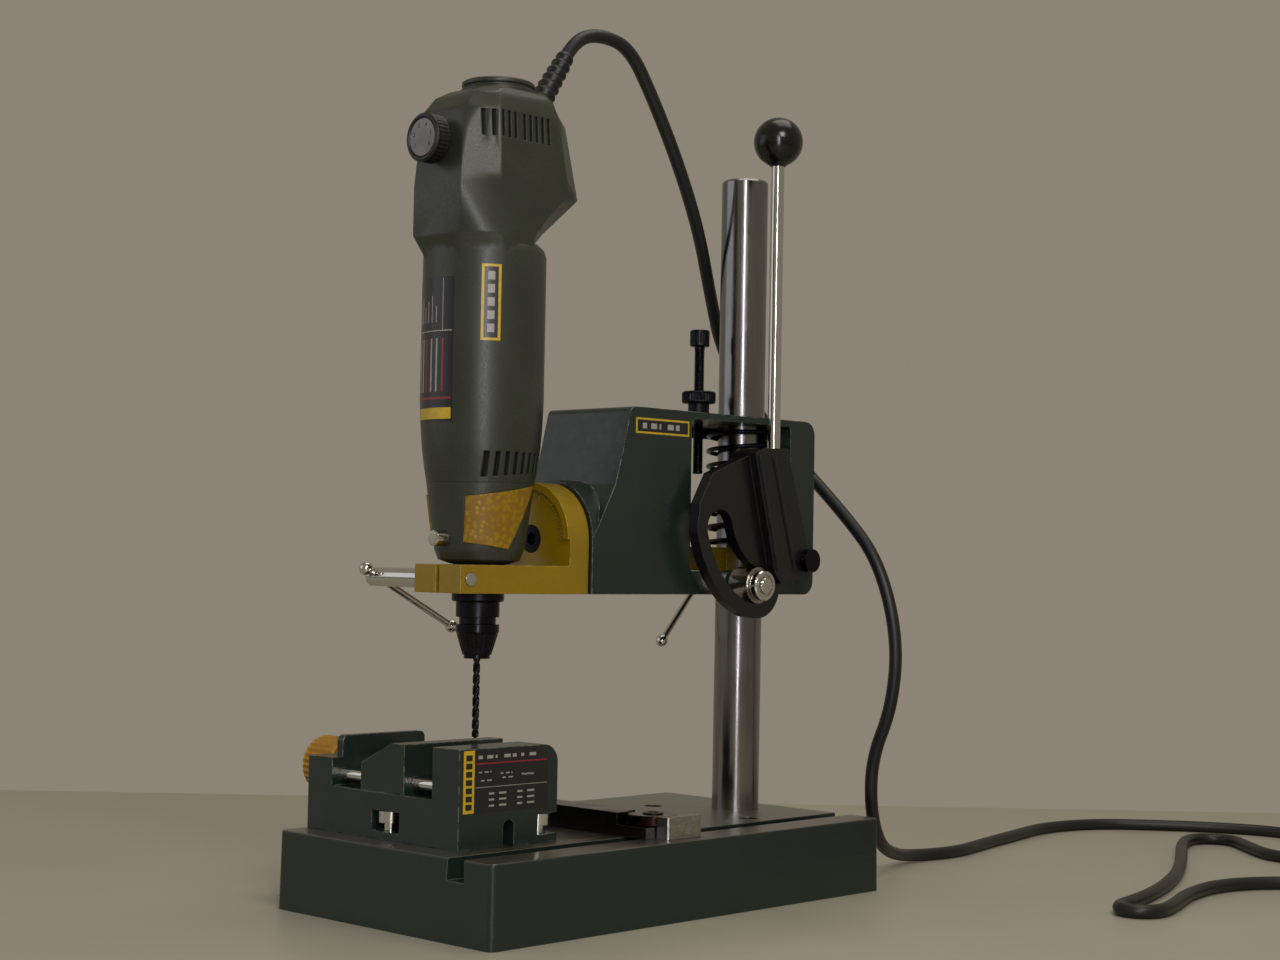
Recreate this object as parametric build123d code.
"""Bench drill stand with a clamped hand drill, machine vise and mains lead.

Frame: origin at the middle of the base plate's underside, +Z up, -Y towards the operator,
+X towards the side that carries the feed lever. Everything is in millimetres.
"""

import math
import os

from build123d import *

os.makedirs("parts", exist_ok=True)

# ---- driving dimensions -------------------------------------------------------------
RUN = 0.05  # radial clearance of a running fit
GAP = 0.3  # space between pieces that pass each other
REST = 0.05  # space left under a piece that sits on another

BASE_X, BASE_Y, BASE_Z = 122, 218, 30
GROOVE_X, GROOVE_W, GROOVE_D = 41.5, 8.4, 8
BENCH_HOLE_X, BENCH_HOLE_Y, BENCH_HOLE_R = 27, 64, 4

COLUMN_R, COLUMN_LENGTH, COLUMN_Y = 10, 280, 86.5
COLUMN_FOOT = 20
COLUMN_TOP = COLUMN_FOOT + COLUMN_LENGTH

THROAT = 150  # column axis to drill axis
TOOL_Y = COLUMN_Y - THROAT

STROKE = 30
COLLAR_Z0, COLLAR_Z1 = 131.6, 141.5

HEAD_HALF = 23.5
HEAD_Z0, HEAD_Z1 = 122, 196
HEAD_FRONT, HEAD_BACK = -26, 107.8
WINDOW_Y0, WINDOW_Y1 = 29.5, 105
WINDOW_Z0, WINDOW_Z1 = 131.3, 193.2
PLATE_BACK, PLATE_FRONT = -26.6, -36.5
SWIVEL_Z = 143
SWIVEL_R = 22

ARM_Z0, ARM_Z1 = 122, 132.7
ARM_FRONT = -84
NECK_R = 10

SPRING_R, SPRING_WIRE, SPRING_TURNS = 14, 0.95, 8.5

LEVER_Z = 136.5  # height of the lever's pivot, which lies over the column's axis
LEVER_X0, LEVER_X1 = 25, 38
SLOT_END = 34  # feed at which the roller would meet the slot's end
ROLLER_R = 7.5
FOLLOWER_Y, FOLLOWER_Z = 59.5, 126
LEVER_TURN = 64  # degrees for the whole stroke
ROD_R, ROD_X, ROD_Y, ROD_TOP = 2.7, 34, 68.2, 302
BALL_R = 10.25

VISE_Y, VISE_W = -71.9, 49
VISE_X0, VISE_X1 = -59, 28.7
VISE_Z0 = BASE_Z + REST
VISE_RAIL_Z, VISE_TOP = 47.4, 66.3
JAW_FACE, FIXED_FACE = -2, 14
JAW_BACK = -27
SCREW_Z = 51.5

BODY_R = 23.5  # drill barrel
NOSE_SEAM = 163.3
TOOL_TOP = 312.6

CORD_R = 2.75


# ---- small helpers ------------------------------------------------------------------
def span(x0, x1, y0, y1, z0, z1):
    """A box between two opposite corners."""
    return Pos((x0 + x1) / 2, (y0 + y1) / 2, (z0 + z1) / 2) * Box(x1 - x0, y1 - y0, z1 - z0)


def post(radius, x, y, z0, z1):
    """A cylinder standing along Z."""
    return Pos(x, y, (z0 + z1) / 2) * Cylinder(radius, z1 - z0)


def along_x(radius, x0, x1, y, z):
    """A cylinder lying along X."""
    return Pos((x0 + x1) / 2, y, z) * Rot(0, 90, 0) * Cylinder(radius, x1 - x0)


def along_y(radius, y0, y1, x, z):
    """A cylinder lying along Y."""
    return Pos(x, (y0 + y1) / 2, z) * Rot(90, 0, 0) * Cylinder(radius, y1 - y0)


def between(radius, start, end):
    """A cylinder from one point to another."""
    a, b = Vector(*start), Vector(*end)
    plane = Plane(origin=a, z_dir=(b - a))
    return plane * Pos(0, 0, (b - a).length / 2) * Cylinder(radius, (b - a).length)


def slab_x(points, x0, x1):
    """An outline of (y, z) points drawn out along X."""
    face = make_face(Polyline(*[(y, z) for y, z in points], close=True))
    plane = Plane(origin=(x0, 0, 0), x_dir=(0, 1, 0), z_dir=(1, 0, 0))
    return plane * extrude(face, amount=x1 - x0)


def slab_y(points, y0, y1):
    """An outline of (x, z) points drawn out along Y."""
    face = make_face(Polyline(*points, close=True))
    plane = Plane(origin=(0, y0, 0), x_dir=(1, 0, 0), z_dir=(0, -1, 0))
    return plane * extrude(face, amount=-(y1 - y0))


def turned(points, x=0, y=0):
    """A profile of (radius, z) points turned about a vertical axis."""
    plane = Plane(origin=(0, 0, 0), x_dir=(1, 0, 0), z_dir=(0, -1, 0))
    face = plane * make_face(Polyline(*points, close=True))
    return Pos(x, y, 0) * revolve(face, Axis.Z)


def group(*solids):
    """Separate solids that share one node."""
    return Compound(children=list(solids))


def write(name, shape):
    export_step(shape, f"parts/{name}.step")


# ---- base and column ----------------------------------------------------------------
def base_plate():
    foot = extrude(RectangleRounded(BASE_X, BASE_Y, 3), amount=BASE_Z, taper=1)
    foot = fillet(foot.faces().sort_by(Axis.Z)[-1].edges(), 0.8)
    half = GROOVE_W / 2
    deep = BASE_Z - GROOVE_D
    dovetail = [(GROOVE_X - half, BASE_Z + 1), (GROOVE_X - half - 0.5, deep),
                (GROOVE_X + half + 0.5, deep), (GROOVE_X + half, BASE_Z + 1)]
    foot -= slab_y(dovetail, -BASE_Y, BASE_Y)
    foot -= post(COLUMN_R, 0, COLUMN_Y, COLUMN_FOOT, BASE_Z + 1)
    foot -= post(4.5, 0, COLUMN_Y, -1, COLUMN_FOOT + 1)
    foot -= post(8, 0, COLUMN_Y, -1, 10)
    for side in (-1, 1):
        foot -= post(BENCH_HOLE_R, side * BENCH_HOLE_X, BENCH_HOLE_Y, -1, BASE_Z + 1)
    for x, y in BOLT_SPOTS:
        foot -= post(VISE_BOLT_R + 0.1, x, y, BASE_Z - 12, BASE_Z + 1)
    return foot


def column():
    tube = post(COLUMN_R, 0, COLUMN_Y, COLUMN_FOOT, COLUMN_TOP)
    tube = chamfer(tube.faces().sort_by(Axis.Z)[-1].edges(), 1)
    return tube - post(4, 0, COLUMN_Y, COLUMN_FOOT - 1, COLUMN_FOOT + 26)


def column_bolt():
    head = post(6.5, 0, COLUMN_Y, 2, 10) - post(3, 0, COLUMN_Y, 1, 6)
    return head + post(3.95, 0, COLUMN_Y, 9, COLUMN_FOOT + 20)


# ---- fence --------------------------------------------------------------------------
FENCE_Y0, FENCE_Y1 = -20, -8
KNOB_R, KNOB_Y = 9.7, -8.5


def fence_bar():
    z0 = BASE_Z + REST
    bar = span(-45, 33.5, FENCE_Y0, FENCE_Y1, z0, 39)
    bar += span(33, 48.9, FENCE_Y0, 3, z0, 34.4)
    bar += span(20, 33.2, FENCE_Y1 - 1, 3, z0, 34.4)
    bar -= post(KNOB_R + GAP, GROOVE_X, KNOB_Y, 34.4, 50)
    return bar - post(2.6, GROOVE_X, KNOB_Y, 20, 50)


def fence_block():
    block = span(48.95, 55.4, -14.7, 4.2, BASE_Z + REST, 38.5)
    block = chamfer(block.edges().filter_by(Axis.Z), 0.5)
    return block - post(KNOB_R + GAP, GROOVE_X, KNOB_Y, 34.4, 50)


def fence_knob():
    disc = post(KNOB_R, GROOVE_X, KNOB_Y, 34.5, 38.5)
    disc = chamfer(disc.edges(), 0.4)
    return disc - post(2.55, GROOVE_X, KNOB_Y, 30, 45)


def fence_screw():
    head = post(4.1, GROOVE_X, KNOB_Y, 38.55, 41.4) - Pos(GROOVE_X, KNOB_Y, 40.6) * extrude(
        RegularPolygon(2.2, 6), amount=2)
    return head + post(2.5, GROOVE_X, KNOB_Y, 24, 39)


def fence_nut():
    """A dovetail nut that the fence's screw pulls up into the groove."""
    half = GROOVE_W / 2 - 0.1
    outline = [(GROOVE_X - half, 28.5), (GROOVE_X - half - 0.3, 22.3),
               (GROOVE_X + half + 0.3, 22.3), (GROOVE_X + half, 28.5)]
    return slab_y(outline, KNOB_Y - 7, KNOB_Y + 7) - post(2.51, GROOVE_X, KNOB_Y, 20, 40)


# ---- machine vise -------------------------------------------------------------------
VISE_Y0, VISE_Y1 = VISE_Y - VISE_W / 2, VISE_Y + VISE_W / 2
ROD_YS = (VISE_Y0 + 6, VISE_Y1 - 6)
VISE_ROD_R = 2.5
VISE_SCREW_R = 4
VISE_BOLT_R = 2.6
BOLT_SPOTS = ((23.7, VISE_Y1 - 5), (-15, VISE_Y0 + 5))


def vise_body():
    body = span(VISE_X0, VISE_X1, VISE_Y0, VISE_Y1, VISE_Z0, 36)
    body += span(VISE_X0, VISE_X1, VISE_Y0, VISE_Y0 + 11, 35, VISE_RAIL_Z)
    body += span(VISE_X0, VISE_X1, VISE_Y1 - 11, VISE_Y1, 35, VISE_RAIL_Z)
    fixed = span(FIXED_FACE, VISE_X1, VISE_Y0, VISE_Y1, 35, VISE_TOP)
    rounded = [e for e in fixed.edges().filter_by(Axis.X)
               if e.center().Z > VISE_TOP - 1 and e.center().Y > VISE_Y]
    body += fillet(rounded, 7)
    body += span(VISE_X0, -44.5, VISE_Y0, VISE_Y1, 35, 58)
    wall = span(-48, -44.5, VISE_Y0 + 5, VISE_Y1 - 3, 50, VISE_TOP)
    body += fillet([e for e in wall.edges().filter_by(Axis.X) if e.center().Z > 60], 2.5)
    for x, y in BOLT_SPOTS:
        deep = VISE_Y1 + 1 if y > VISE_Y else VISE_Y0 - 1
        body -= span(x - 5.2, VISE_X1 + 1 if x > 0 else x + 10.8,
                     min(y - 5, deep), max(y + 5, deep), 33, 40.7)
        body -= post(VISE_BOLT_R + 0.5, x, y, 29, 35)
    body -= span(VISE_X1 - 9, VISE_X1 + 1, VISE_Y - 2.7, VISE_Y + 2.7, 29, 37)
    body -= along_x(2.7, VISE_X1 - 9, VISE_X1 + 1, VISE_Y, 37)
    body -= along_x(VISE_SCREW_R + RUN, VISE_X0 - 1, FIXED_FACE + 8, VISE_Y, SCREW_Z)
    for y in ROD_YS:
        body -= along_x(VISE_ROD_R, -52, FIXED_FACE + 8, y, SCREW_Z)
    return body


def vise_rods():
    return group(*[along_x(VISE_ROD_R, -52, FIXED_FACE + 8, y, SCREW_Z) for y in ROD_YS])


def vise_jaw():
    low = VISE_RAIL_Z + 0.15
    outline = [(JAW_BACK, low), (JAW_FACE, low), (JAW_FACE, VISE_TOP - 0.3),
               (JAW_FACE - 7.5, VISE_TOP - 0.3), (JAW_BACK, 57.7)]
    jaw = slab_y(outline, VISE_Y0, VISE_Y1)
    jaw += span(JAW_BACK, JAW_FACE, VISE_Y0 + 11 + GAP, VISE_Y1 - 11 - GAP, 43, low + 1)
    for y in ROD_YS:
        jaw -= along_x(VISE_ROD_R + RUN, -60, 20, y, SCREW_Z)
    return jaw - along_x(VISE_SCREW_R + RUN, -60, 20, VISE_Y, SCREW_Z)


def vise_screw():
    return along_x(VISE_SCREW_R, -80, FIXED_FACE + 6, VISE_Y, SCREW_Z)


def vise_knob():
    knob = along_x(11.3, -81.5, -64.5, VISE_Y, SCREW_Z + 0.2)
    knob = chamfer(knob.edges(), 1)
    knob += along_x(7, -65, -59.4, VISE_Y, SCREW_Z)
    return knob - along_x(VISE_SCREW_R, -80, -50, VISE_Y, SCREW_Z)


def vise_bolts():
    bolts = []
    for x, y in BOLT_SPOTS:
        bolt = post(4.7, x, y, 36.1, 40.4) + post(VISE_BOLT_R, x, y, BASE_Z - 11, 36.5)
        bolts.append(bolt - Pos(x, y, 38.2) * extrude(RegularPolygon(2.5, 6), amount=4))
    return group(*bolts)


# ---- head ---------------------------------------------------------------------------
STOP_Y = 59
STOP_R = 2.2


def head_casting():
    side = [(HEAD_FRONT, HEAD_Z0), (HEAD_BACK, HEAD_Z0), (HEAD_BACK, HEAD_Z1),
            (-5.8, HEAD_Z1), (-9.8, 179.5), (-13.9, 165), (HEAD_FRONT, SWIVEL_Z)]
    head = slab_x(side, -HEAD_HALF, HEAD_HALF)
    corners = [e for e in head.edges().filter_by(Axis.X) if e.center().Y > HEAD_BACK - 1]
    head = fillet(corners, 6)
    front = [e for e in head.edges().filter_by(Axis.X)
             if e.center().Y < 0 and e.center().Z > HEAD_Z0 + 1]
    head = fillet(front, 3)
    disc = along_y(SWIVEL_R + 1.5, HEAD_FRONT, -8, 0, SWIVEL_Z)
    disc &= span(-HEAD_HALF, HEAD_HALF, HEAD_FRONT, 0, HEAD_Z0, HEAD_Z1)
    head += disc
    near = span(-20, 40, WINDOW_Y0, COLUMN_Y + 5.2, WINDOW_Z0, WINDOW_Z1)
    far = span(-40, COLLAR_R + 0.4, WINDOW_Y0, WINDOW_Y1, WINDOW_Z0, WINDOW_Z1 - 4.2)
    for window in (near, far):
        head -= fillet(window.edges().filter_by(Axis.X), 2)
    head -= span(-20, COLLAR_R + 0.4, COLUMN_Y, WINDOW_Y1, WINDOW_Z0 + 5, WINDOW_Z1)
    hollow = [(-12, HEAD_Z0 - 1), (21.5, HEAD_Z0 - 1), (21.5, 186), (-1.5, 186), (-12, 153)]
    head -= slab_x(hollow, -HEAD_HALF + 3.5, HEAD_HALF - 3.5)
    head += span(-2, 2, -6, 22, HEAD_Z0, 187)
    head += post(7.5, 0, STOP_Y, WINDOW_Z1, HEAD_Z1 - 1)
    head -= post(COLUMN_R + RUN, 0, COLUMN_Y, 100, 220)
    head -= post(STOP_R + 0.1, 0, STOP_Y, WINDOW_Z1 - 1, 220)
    head -= along_y(3, -40, -10, 0, SWIVEL_Z)
    return head - along_x(2.5, 10, 40, FOLLOWER_Y, FOLLOWER_Z)


def swivel_bolt():
    head = along_y(5.3, -36.4, -31.5, 0, SWIVEL_Z)
    head -= Plane(origin=(0, -37, SWIVEL_Z), z_dir=(0, 1, 0)) * extrude(
        RegularPolygon(2.6, 6), amount=3.5)
    return head + along_y(2.95, -32, -11, 0, SWIVEL_Z) + along_y(5.5, -11.9, -8.2, 0, SWIVEL_Z)


def coil_spring(radius, wire, z0, z1, turns):
    """A round wire wound about the column."""
    pitch = (z1 - z0 - 2 * wire - 0.2) / turns
    path = Helix(pitch, pitch * turns, radius)
    start = path @ 0
    section = Plane(origin=start, z_dir=path % 0) * Circle(wire)
    spring = sweep(section, path=path, is_frenet=True)
    return Pos(0, COLUMN_Y, z0 + wire + 0.1) * spring


def return_spring():
    return coil_spring(SPRING_R, SPRING_WIRE, COLLAR_Z1, WINDOW_Z1, SPRING_TURNS)


def stop_screw():
    head = post(4.15, 0, STOP_Y, 226, 233) - Pos(0, STOP_Y, 229.5) * extrude(
        RegularPolygon(2.2, 6), amount=5)
    return head + post(STOP_R, 0, STOP_Y, 172.2, 227)


def stop_nut():
    nut = post(7.15, 0, STOP_Y, 202, 207)
    nut = chamfer(nut.edges(), 0.4) + post(4.5, 0, STOP_Y, HEAD_Z1 + 0.1, 202.5)
    return nut - post(STOP_R + RUN, 0, STOP_Y, 190, 215)


# ---- collar that clamps the column --------------------------------------------------
CLAMP_Y, CLAMP_Z = 99.3, 136.5
COLLAR_R = 16.8
HANDLE_X = -26.6


def collar():
    ring = post(COLLAR_R, 0, COLUMN_Y, COLLAR_Z0, COLLAR_Z1)
    ring += span(-6.5, 6.5, 53, COLUMN_Y, COLLAR_Z0, COLLAR_Z1)
    ring += span(-11, 11, 94, COLUMN_Y + COLLAR_R - 0.5, COLLAR_Z0, COLLAR_Z1)
    ring += along_x(4.7, 10, 22.8, COLUMN_Y, LEVER_Z)
    ring -= post(COLUMN_R + RUN, 0, COLUMN_Y, 100, 200)
    ring -= span(-0.6, 0.6, COLUMN_Y, 120, 100, 200)
    ring -= along_x(3, 15, 40, COLUMN_Y, LEVER_Z)
    ring -= along_x(4 + GAP, -30, -11.2, CLAMP_Y, CLAMP_Z)
    return ring - along_x(2.5, -30, 30, CLAMP_Y, CLAMP_Z)


def collar_screw():
    screw = along_x(2.4, -16, 10.5, CLAMP_Y, CLAMP_Z)
    screw += along_x(4, HANDLE_X - 2.4, -11.4, CLAMP_Y, CLAMP_Z)
    return screw - between(1.6, *collar_bar_ends(60))


def collar_bar_ends(reach=0):
    """The two ends of the collar's handle bar, which runs through its screw's head."""
    lean = math.radians(42)
    down = (0, -math.sin(lean), -math.cos(lean))
    start = (HANDLE_X, CLAMP_Y - 12 * down[1], CLAMP_Z - 12 * down[2])
    end = (HANDLE_X, CLAMP_Y + 48 * down[1], CLAMP_Z + 48 * down[2])
    if reach:
        start = tuple(s - reach * d for s, d in zip(start, down))
        end = tuple(e + reach * d for e, d in zip(end, down))
    return start, end


def handle_bar(ends):
    """A thin bar with a ball at each end."""
    bar = between(1.4, *ends)
    for end in ends:
        bar += Pos(*end) * Sphere(2.65)
    return bar


# ---- feed lever ---------------------------------------------------------------------
def lever_point(feed):
    """Where the follower stands in the lever's rest frame after so much feed."""
    turn = math.radians(LEVER_TURN * feed / STROKE)
    y, z = FOLLOWER_Y - COLUMN_Y, FOLLOWER_Z - LEVER_Z - feed
    return (COLUMN_Y + y * math.cos(turn) + z * math.sin(turn),
            LEVER_Z - y * math.sin(turn) + z * math.cos(turn))


def cam_path(first, last, steps):
    feeds = [first + (last - first) * n / steps for n in range(steps + 1)]
    return Spline(*[lever_point(f) for f in feeds])


def swept_slot(radius, first, last, x0, x1):
    """A plate as wide as a roller's path, with round ends."""
    line = cam_path(first, last, 6)
    face = trace(line, 2 * radius)
    for end in (line @ 0, line @ 1):
        face += Pos(end.X, end.Y) * Circle(radius)
    plane = Plane(origin=(x0, 0, 0), x_dir=(0, 1, 0), z_dir=(1, 0, 0))
    return plane * extrude(face, amount=x1 - x0)


def lever_hub():
    cheek = [(52.5, 180), (57.7, 182.1), (72.5, 182.8), (87, 141), (90, 132), (84, 129),
             (70, 126.7), (66, 131)]
    web = [(23.5, 148), (23.5, 158.5), (31, 171), (58.5, 181.3), (76, 150), (66, 131)]
    hub = slab_x(cheek, LEVER_X0, LEVER_X1) + slab_x(web, LEVER_X1 - 9, LEVER_X1 - 4)
    hub += swept_slot(ROLLER_R + 6, -1, SLOT_END, LEVER_X1 - 9, LEVER_X1 - 4)
    hub += along_x(6.4, LEVER_X0, LEVER_X1 - 1, COLUMN_Y, LEVER_Z)
    hub -= swept_slot(ROLLER_R + 0.15, -1, SLOT_END, LEVER_X0 - 5, LEVER_X1 + 5)
    for top_y, low_y in ((54, 67), (63.2, 77.7)):
        rib = [(top_y, 179), (top_y + 1.2, 179), (low_y + 1.2, 132), (low_y, 132)]
        hub += slab_x(rib, LEVER_X1 - 1, LEVER_X1 + 0.7)
    hub -= along_x(4 + RUN, LEVER_X0 - 1, LEVER_X1 + 1, COLUMN_Y, LEVER_Z)
    return hub - post(ROD_R, ROD_X, ROD_Y, 160, 190)


def lever_rod():
    return post(ROD_R, ROD_X, ROD_Y, 160, ROD_TOP + 4)


def lever_ball():
    ball = Pos(ROD_X, ROD_Y, ROD_TOP + 8.3) * Sphere(BALL_R)
    ball += post(4.4, ROD_X, ROD_Y, ROD_TOP - 4, ROD_TOP)
    return ball - post(ROD_R, ROD_X, ROD_Y, ROD_TOP - 10, ROD_TOP + 4)


def lever_pivot():
    """Shoulder bolt in the collar's boss that the lever turns on."""
    bolt = along_x(2.95, 15.5, 24, COLUMN_Y, LEVER_Z) + along_x(4, 22.9, 38.2, COLUMN_Y, LEVER_Z)
    return bolt + along_x(4.8, 38.1, 41, COLUMN_Y, LEVER_Z)


def follower_roller():
    """Roller on the head that runs in the lever's slot."""
    ring = along_x(ROLLER_R, LEVER_X0 - 0.5, LEVER_X1 - 3.5, FOLLOWER_Y, FOLLOWER_Z)
    return ring - along_x(3.5 + RUN, 20, 40, FOLLOWER_Y, FOLLOWER_Z)


def follower_bolt():
    bolt = along_x(2.5, 11, 24, FOLLOWER_Y, FOLLOWER_Z)
    bolt += along_x(3.5, HEAD_HALF + 0.05, LEVER_X1 - 3.2, FOLLOWER_Y, FOLLOWER_Z)
    cap = along_x(6.3, LEVER_X1 - 3.3, LEVER_X1 + 1.2, FOLLOWER_Y, FOLLOWER_Z)
    return bolt + chamfer(cap.edges(), 0.6)


# ---- swivelling arm -----------------------------------------------------------------
ARM_SCREW_Y, ARM_SCREW_Z = -79, 127.3
ARM_HANDLE_X = -41


def swivel_arm():
    disc = along_y(SWIVEL_R, PLATE_FRONT, PLATE_BACK, 0, SWIVEL_Z)
    disc += span(-SWIVEL_R, SWIVEL_R, PLATE_FRONT, PLATE_BACK, ARM_Z0, SWIVEL_Z)
    rim = along_y(SWIVEL_R, PLATE_FRONT - 1.2, PLATE_FRONT + 1, 0, SWIVEL_Z)
    rim -= along_y(SWIVEL_R - 3, PLATE_FRONT - 2, PLATE_FRONT, 0, SWIVEL_Z)
    disc += rim & span(-SWIVEL_R, SWIVEL_R, -45, 0, SWIVEL_Z, 170)
    disc &= span(-30, 30, -60, PLATE_BACK, ARM_Z0, 170)
    plan = [(-SWIVEL_R, PLATE_BACK), (SWIVEL_R, PLATE_BACK), (SWIVEL_R, -42), (13, -74),
            (13, ARM_FRONT), (-13, ARM_FRONT), (-13, -74), (-SWIVEL_R, -42)]
    arm = Pos(0, 0, ARM_Z0) * extrude(make_face(Polyline(*plan, close=True)),
                                      amount=ARM_Z1 - ARM_Z0)
    arm += post(15.5, 0, TOOL_Y, ARM_Z0, ARM_Z1)
    arm += disc
    arm -= post(NECK_R, 0, TOOL_Y, 110, 140)
    arm -= span(-0.9, 0.9, ARM_FRONT - 5, TOOL_Y, 110, 140)
    arm -= along_x(2.6, -30, 30, ARM_SCREW_Y, ARM_SCREW_Z)
    arm -= along_y(5.5, PLATE_FRONT - 2, -31.4, 0, SWIVEL_Z)
    return arm - along_y(3.05, -50, 0, 0, SWIVEL_Z)


def arm_screw():
    screw = along_x(2.5, -19, 13.4, ARM_SCREW_Y, ARM_SCREW_Z)
    barrel = along_x(3.7, -44.5, -13.6, ARM_SCREW_Y, ARM_SCREW_Z)
    screw += chamfer(barrel.edges(), 0.5)
    return screw - between(1.6, *arm_bar_ends(60))


def arm_bar_ends(reach=0):
    """The two ends of the arm's handle bar, which runs through its screw's barrel."""
    lean = math.radians(27)
    out = (0, math.cos(lean), -math.sin(lean))
    start = tuple(c - 6.7 * o for c, o in zip((ARM_HANDLE_X, ARM_SCREW_Y, ARM_SCREW_Z), out))
    end = tuple(c + 43 * o for c, o in zip((ARM_HANDLE_X, ARM_SCREW_Y, ARM_SCREW_Z), out))
    if reach:
        start = tuple(s - reach * o for s, o in zip(start, out))
        end = tuple(e + reach * o for e, o in zip(end, out))
    return start, end


# ---- hand drill ---------------------------------------------------------------------
WALL = 2.5
DIAL_Z = 291.3
SWITCH_PLANE = Plane(origin=(0, TOOL_Y + 30.2, 269.87), x_dir=(1, 0, 0), z_dir=(0, 0.695, -0.7186))
CAP_Y = TOOL_Y + 5
BUTTON_Z = 142.4
BARREL = [(20.5, NOSE_SEAM), (21.4, 168.7), (22.5, 176.4), (23.1, 184), (BODY_R, 195),
          (BODY_R, 250), (22.6, 252.6), (20.5, 254.6)]
NOSE = [(11, 133), (15.5, 134.5), (16.9, 138), (17.7, 142), (18.7, 149.4), (20.5, NOSE_SEAM)]


def barrel(inset=0):
    outline = [(r - inset, z) for r, z in BARREL]
    return turned([(0, NOSE_SEAM)] + outline + [(0, BARREL[-1][1])], 0, TOOL_Y)


# Eight-sided sections of the drill's deep top: height, then front, side start, side end and
# back along Y from the drill's axis, then half widths at the front, the sides and the back.
MOTOR_HEAD = [(247, -21.5, -9, 6, 17, 9, 21.3, 8), (256.5, -24.8, -12, 4.5, 17.5, 13.3, 22.5, 9),
              (260, -24.8, -12, 7, 20, 13.3, 22.5, 10), (275, -24.8, -12, 22, 35.5, 13.3, 22.5, 13.5),
              (303, -22.5, -12, 18, 29.5, 12, 20.5, 12), (309.5, -17.5, -10.5, 17, 25, 10.5, 18.3, 10.5),
              (TOOL_TOP, -12, -8, 15, 21.5, 9, 16, 9)]


def motor_head(inset=0):
    """The deeper top of the drill, which bulges to the back over the switch."""
    sections = []
    for z, front, side_0, side_1, rear, front_x, side_x, rear_x in MOTOR_HEAD:
        right = [(front_x - inset / 2, front + inset), (side_x - inset, side_0),
                 (side_x - inset, side_1), (rear_x - inset / 2, rear - inset)]
        outline = right + [(-x, y) for x, y in reversed(right)]
        if z == TOOL_TOP:
            z -= inset
        level = Plane(origin=(0, TOOL_Y, z))
        sections.append(level * make_face(Polyline(*outline, close=True)))
    return loft(sections, ruled=True)


def housing_body():
    shell = barrel() + motor_head()
    shell -= barrel(WALL) + motor_head(WALL)
    for n in range(10):
        y = TOOL_Y - 17 + 3.1 * n + (1.5 if n > 4 else 0)
        shell -= span(-40, 40, y - 0.7, y + 0.7, 292.5, 302.5)
    for n in range(8):
        y = TOOL_Y - 13 + 3.7 * n
        shell -= span(-40, 40, y - 0.9, y + 0.9, 165.5 + 0.35 * n, 175)
    shell -= SWITCH_PLANE * Box(5.6, 7.2, 12)
    shell -= along_y(2.6, -100, TOOL_Y - 18, 0, DIAL_Z)
    return shell - relief_cone()


def end_cap():
    flange = [(0, TOOL_TOP + 0.05), (14.4, TOOL_TOP + 0.05), (14.4, 314.4), (13.2, 314.9),
              (13.2, 315.6), (14, 316), (14, 317.2), (13.2, 317.8), (0, 317.8)]
    return turned(flange, 0, CAP_Y)


def nose_cone(grow=0):
    outline = [(r + grow, z) for r, z in NOSE]
    return turned([(0, NOSE[0][1])] + outline + [(0, NOSE_SEAM)], 0, TOOL_Y)


def panel_outline():
    outline = [(-79, 141), (-64.7, 138.7), (-52.5, 162.9), (-80.3, 158.3)]
    return slab_x(outline, -30, -7) + slab_x(outline, 7, 30)


def nose_housing():
    nose = nose_cone() - (panel_outline() - nose_cone(-0.8))
    nose -= post(NECK_R, 0, TOOL_Y, 130, 138)
    nose -= post(11, 0, TOOL_Y, 137, 146)
    inside = [(0, 145), (14.5, 145), (15.5, 150), (18, NOSE_SEAM + 1), (0, NOSE_SEAM + 1)]
    nose -= turned(inside, 0, TOOL_Y)
    return nose - along_y(3 + RUN, -100, TOOL_Y, 0, BUTTON_Z)


def side_panels():
    skin = nose_cone(0.5) - nose_cone(-0.8)
    return group(*(skin & panel_outline()).solids())


def clamp_collar():
    ring = post(NECK_R, 0, TOOL_Y, 118.7, 138)
    ring = chamfer(ring.faces().sort_by(Axis.Z)[0].edges(), 0.6)
    return ring - post(4.4, 0, TOOL_Y, 100, 150)


def lock_button():
    button = along_y(3, -87, -78.5, 0, BUTTON_Z)
    return chamfer(button.faces().sort_by(Axis.Y)[0].edges(), 0.6)


def speed_dial():
    dial = along_y(9.2, -96.4, -89.1, 0, DIAL_Z)
    dial = fillet(dial.faces().sort_by(Axis.Y)[0].edges(), 1)
    return dial + along_y(2.5, -89.2, -82, 0, DIAL_Z)


def power_switch():
    cap = SWITCH_PLANE * Pos(0, 0, 1.7) * Box(10, 5.6, 3)
    return cap + SWITCH_PLANE * Pos(0, 0, -2) * Box(5, 3, 5)


RELIEF_START = (0, TOOL_Y + 23, 308)
RELIEF_LEAN = 33.5
RELIEF_LENGTH = 32


def relief_plane():
    lean = math.radians(RELIEF_LEAN)
    return Plane(origin=RELIEF_START, x_dir=(1, 0, 0), z_dir=(0, math.sin(lean), math.cos(lean)))


def relief_cone():
    """The sleeve's tapered body, from inside the housing to its thin end."""
    length = RELIEF_LENGTH + 3
    return relief_plane() * Pos(0, 0, length / 2 - 3) * Cone(5.2, 3.5, length)


def strain_relief():
    sleeve = relief_cone()
    for n in range(6):
        sleeve -= relief_plane() * Pos(0, 0, 6.5 + 4.2 * n) * (
            Cylinder(6, 1.2) - Cylinder(3.2, 2))
    return sleeve


# ---- drill: what turns, and what drives it ------------------------------------------
SPINDLE_R = 3.6


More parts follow.
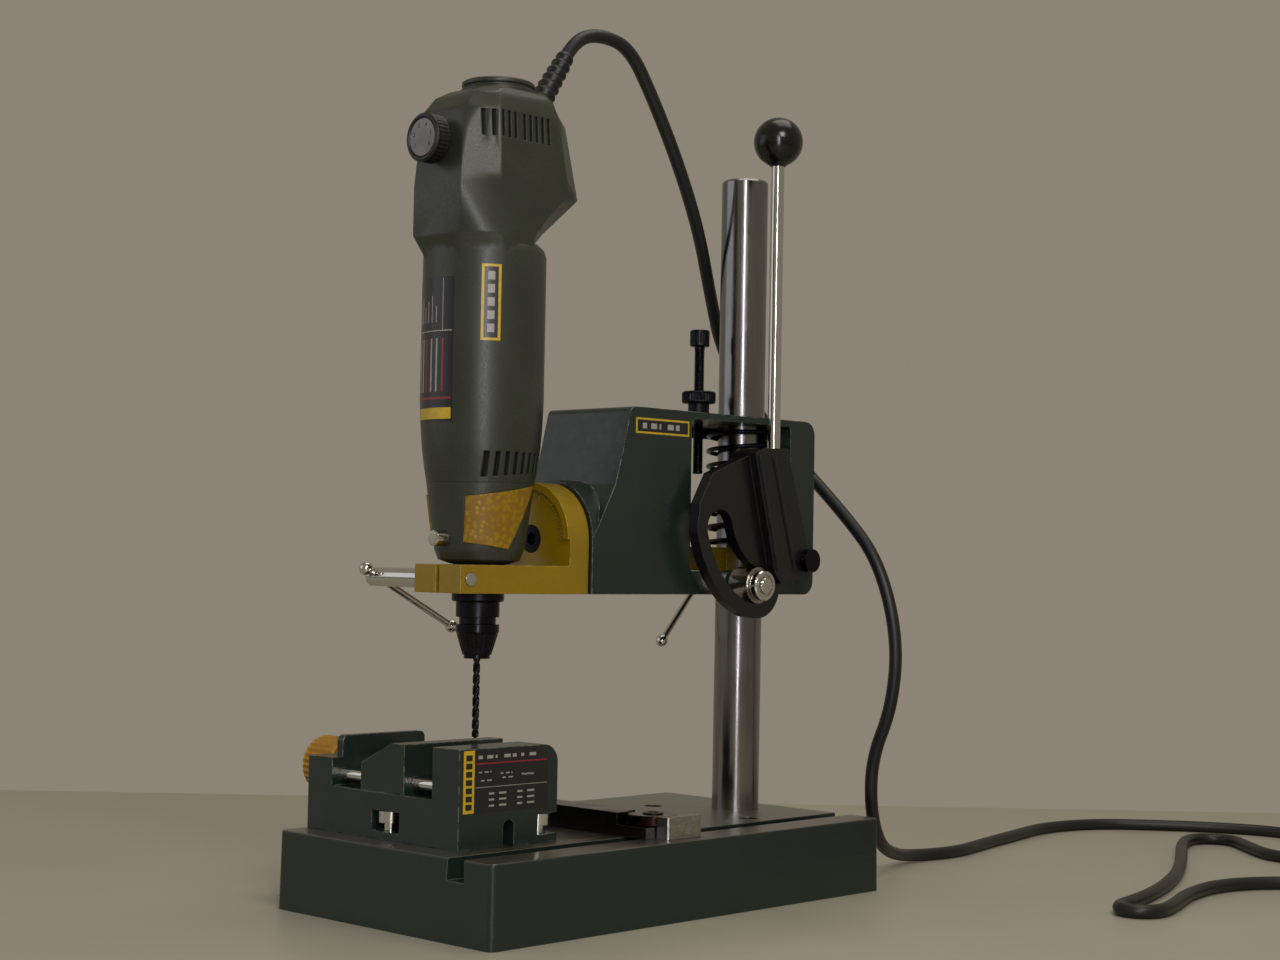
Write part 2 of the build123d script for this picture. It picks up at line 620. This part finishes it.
def spindle():
    return post(SPINDLE_R, 0, TOOL_Y, 112, 262)


def ball_bearing(outer, z0, z1):
    return post(outer, 0, TOOL_Y, z0, z1) - post(SPINDLE_R + RUN, 0, TOOL_Y, z0 - 1, z1 + 1)


def bearing_bracket():
    """Bridge that carries the rear bearing across the drill's waist."""
    plate = post(14.6, 0, TOOL_Y, 252, 257) + span(-19, 19, TOOL_Y - 8, TOOL_Y + 2, 252, 257)
    plate -= post(9.5, 0, TOOL_Y, 250, 260)
    for n in range(4):
        plate -= Pos(0, TOOL_Y, 254) * Rot(0, 0, 45 + 90 * n) * Pos(12, 0, 0) * Cylinder(1.8, 10)
    return plate


def motor_field():
    ring = post(20.5, 0, TOOL_Y, 200, 232) - post(13, 0, TOOL_Y, 190, 240)
    for side in (-1, 1):
        ring += Pos(side * 16.5, TOOL_Y, 216) * Box(6, 12, 42) - post(13.5, 0, TOOL_Y, 190, 240)
    return ring


def armature():
    core = post(12, 0, TOOL_Y, 200, 232)
    for n in range(12):
        core -= Pos(0, TOOL_Y, 216) * Rot(0, 0, 30 * n) * Pos(11, 0, 0) * Box(3, 1.6, 40)
    commutator = post(7, 0, TOOL_Y, 236.1, 248)
    bore = post(SPINDLE_R, 0, TOOL_Y, 190, 260)
    coils = post(9, 0, TOOL_Y, 196, 236)
    return (core + coils + commutator) - bore


def cooling_fan():
    fan = post(16.5, 0, TOOL_Y, 183, 184.5) + post(7, 0, TOOL_Y, 183, 192)
    for n in range(9):
        fan += Pos(0, TOOL_Y, 187.5) * Rot(0, 0, 40 * n) * Pos(11.4, 0, 0) * Box(9.6, 1, 7)
    return fan - post(SPINDLE_R, 0, TOOL_Y, 170, 200)


def carbon_brushes():
    return group(*[Pos(side * 13.1, TOOL_Y, 242) * Box(12, 4, 5) for side in (-1, 1)])


def circuit_board():
    board = Pos(0, TOOL_Y + 6, 280) * Box(34, 40, 1.6)
    board += Pos(-8, TOOL_Y + 12, 284.8) * Cylinder(5, 8.2)
    return board + Pos(8, TOOL_Y - 2, 283.7) * Box(10, 14, 6)


def chuck_body():
    outline = [(SPINDLE_R, 118.5), (8.3, 118.5), (8.3, 112.9), (7, 112.9), (7, 110.2),
               (5, 110.2), (5, 97.2), (2.6, 97.2), (2.6, 108), (1.35, 108), (1.35, 112),
               (SPINDLE_R, 112)]
    return turned(outline, 0, TOOL_Y)


def chuck_sleeve():
    outline = [(5 + RUN, 110.1), (8.3, 110.1), (8.3, 107), (5.5, 98.6), (5 + RUN, 98.6)]
    return turned(outline, 0, TOOL_Y)


def chuck_jaws():
    ring = post(2.55, 0, TOOL_Y, 97.4, 106) - post(1.37, 0, TOOL_Y, 90, 110)
    for n in range(3):
        ring -= Pos(0, TOOL_Y, 100) * Rot(0, 0, 120 * n) * Pos(3, 0, 0) * Box(6, 0.6, 20)
    return group(*ring.solids())


def drill_bit():
    return turned([(0, 66.9), (1.35, 67.7), (1.35, 111.9), (0, 111.9)], 0, TOOL_Y)


# ---- mains lead ---------------------------------------------------------------------
# The lead hangs in three spans that follow the arm, the head and the collar as they move,
# so the hanging part has one node for each. Their route is one list of points.
TOP_ROUTE = [(0, -22.84, 334.68), (0, -15.67, 345.52), (0, -1.5, 349.8), (0, 17, 345.5),
             (-0.5, 33, 323), (-3, 50, 301), (-9, 67, 277), (-18, 85, 252), (-20.5, 92, 240)]
MIDDLE_ROUTE = [(-20.5, 92, 240), (-23, 99, 228), (-16, 115, 202), (-1, 125, 181),
                (7.5, 126, 173)]
LOWER_ROUTE = [(7.5, 126, 173), (25.35, 128.1, 156.2), (44, 128, 136), (55, 127, 104),
               (52.5, 127, 75), (42, 127, 52), (41, 128, 30), (36, 141, 14), (27, 162, 7),
               (18, 187, CORD_R), (24, 215, CORD_R), (15, 250, CORD_R), (7, 287, CORD_R),
               (-2, 325, CORD_R), (5, 362, CORD_R), (29, 384, CORD_R), (56, 402, CORD_R),
               (86, 411, CORD_R), (116, 400, CORD_R), (144, 384, CORD_R),
               (157, 352, CORD_R), (148, 325, CORD_R), (126, 322, CORD_R), (105, 342, CORD_R),
               (87, 360, CORD_R), (75, 357, CORD_R), (70, 346, CORD_R), (78, 325, CORD_R),
               (98, 290, CORD_R), (120, 250, CORD_R), (138, 210, CORD_R), (150, 175, CORD_R),
               (156, 149, CORD_R), (157.3, 138, CORD_R), (162, 130, CORD_R),
               (170.5, 129.5, CORD_R), (175.5, 137, CORD_R), (172.5, 152, CORD_R),
               (161, 183, CORD_R), (156, 214, CORD_R), (164, 240, CORD_R),
               (182, 256, CORD_R), (196, 262, CORD_R)]
COIL_X, COIL_Y, COIL_R = 196, 293, 31
PLUG_START = (COIL_X + COIL_R, 326, 6.9)


def lead(name, route):
    """A tube on straight runs joined by arcs as large as the runs allow."""
    corners = [Vector(*p) for p in route]
    radii = []
    for before, at, after in zip(corners, corners[1:], corners[2:]):
        half_turn = math.radians((at - before).get_angle(after - at)) / 2
        run = min((at - before).length, (after - at).length)
        radii.append(0.45 * run / math.tan(half_turn))
    path = FilletPolyline(*route, radius=radii)
    start = Plane(origin=path @ 0, z_dir=path % 0)
    tube = sweep(start * Circle(CORD_R), path=path)
    print(name, "length", round(path.length, 1), "volume ratio",
          round(tube.volume / (math.pi * CORD_R**2 * path.length), 4),
          "radii", [round(r) for r in radii])
    return tube


def cord_coil():
    """The outer shape of the wound-up length: turns two wide and two high."""
    wide = 2 * CORD_R + 0.5
    ring = post(COIL_R + wide, COIL_X, COIL_Y, 0, 11.2)
    ring = fillet(ring.edges(), 2.4)
    return ring - post(COIL_R - wide, COIL_X, COIL_Y, -1, 20)


def cord_tie():
    """A strap round one side of the coil."""
    wide = 2 * CORD_R + 1.1
    x = COIL_X - COIL_R
    strap = span(x - wide - 1.2, x + wide + 1.2, COIL_Y - 4, COIL_Y + 4, 0, 12.6)
    return strap - span(x - wide, x + wide, COIL_Y - 5, COIL_Y + 5, -1, 11.4)


def cord_tail():
    return between(CORD_R, (COIL_X + COIL_R, 304, 3.6), PLUG_START)


def plug_body():
    x, y, z = PLUG_START
    half, thick = 13, 13.6
    outline = [(x - 4.5, y), (x + 4.5, y), (x + 5.5, y + 9), (x + half, y + 20),
               (x + half, y + 35), (x - half, y + 35), (x - half, y + 20), (x - 5.5, y + 9)]
    body = Pos(0, 0, z - thick / 2) * extrude(make_face(Polyline(*outline, close=True)),
                                              amount=thick)
    return fillet(body.edges().filter_by(Axis.Z), 1.5)


def plug_pins():
    x, y, z = PLUG_START
    return group(*[along_y(2, y + 28, y + 54, x + side * 9.3, z) for side in (-1, 1)])


# ---- write every node ---------------------------------------------------------------
PIECES = [
    base_plate, column, column_bolt, fence_bar, fence_block, fence_knob, fence_screw, fence_nut,
    vise_body, vise_rods, vise_jaw, vise_screw, vise_knob, vise_bolts, head_casting,
    swivel_bolt, return_spring, stop_screw, stop_nut, collar, collar_screw, lever_hub,
    lever_rod, lever_ball, lever_pivot, follower_roller, follower_bolt, swivel_arm, arm_screw,
    housing_body, end_cap, nose_housing, side_panels, clamp_collar, lock_button, speed_dial,
    power_switch, strain_relief, spindle, bearing_bracket, motor_field, armature, cooling_fan,
    carbon_brushes, circuit_board, chuck_body, chuck_sleeve, chuck_jaws, drill_bit, cord_coil,
    cord_tie, cord_tail, plug_body, plug_pins,
]
for piece in PIECES:
    write(piece.__name__, piece())

write("collar_bar", handle_bar(collar_bar_ends()))
write("arm_bar", handle_bar(arm_bar_ends()))
write("bearings", group(ball_bearing(11, 138, 146), ball_bearing(9.5, 252, 258)))
write("cord_top", lead("cord_top", TOP_ROUTE))
write("cord_middle", lead("cord_middle", MIDDLE_ROUTE))
write("cord_lower", lead("cord_lower", LOWER_ROUTE))
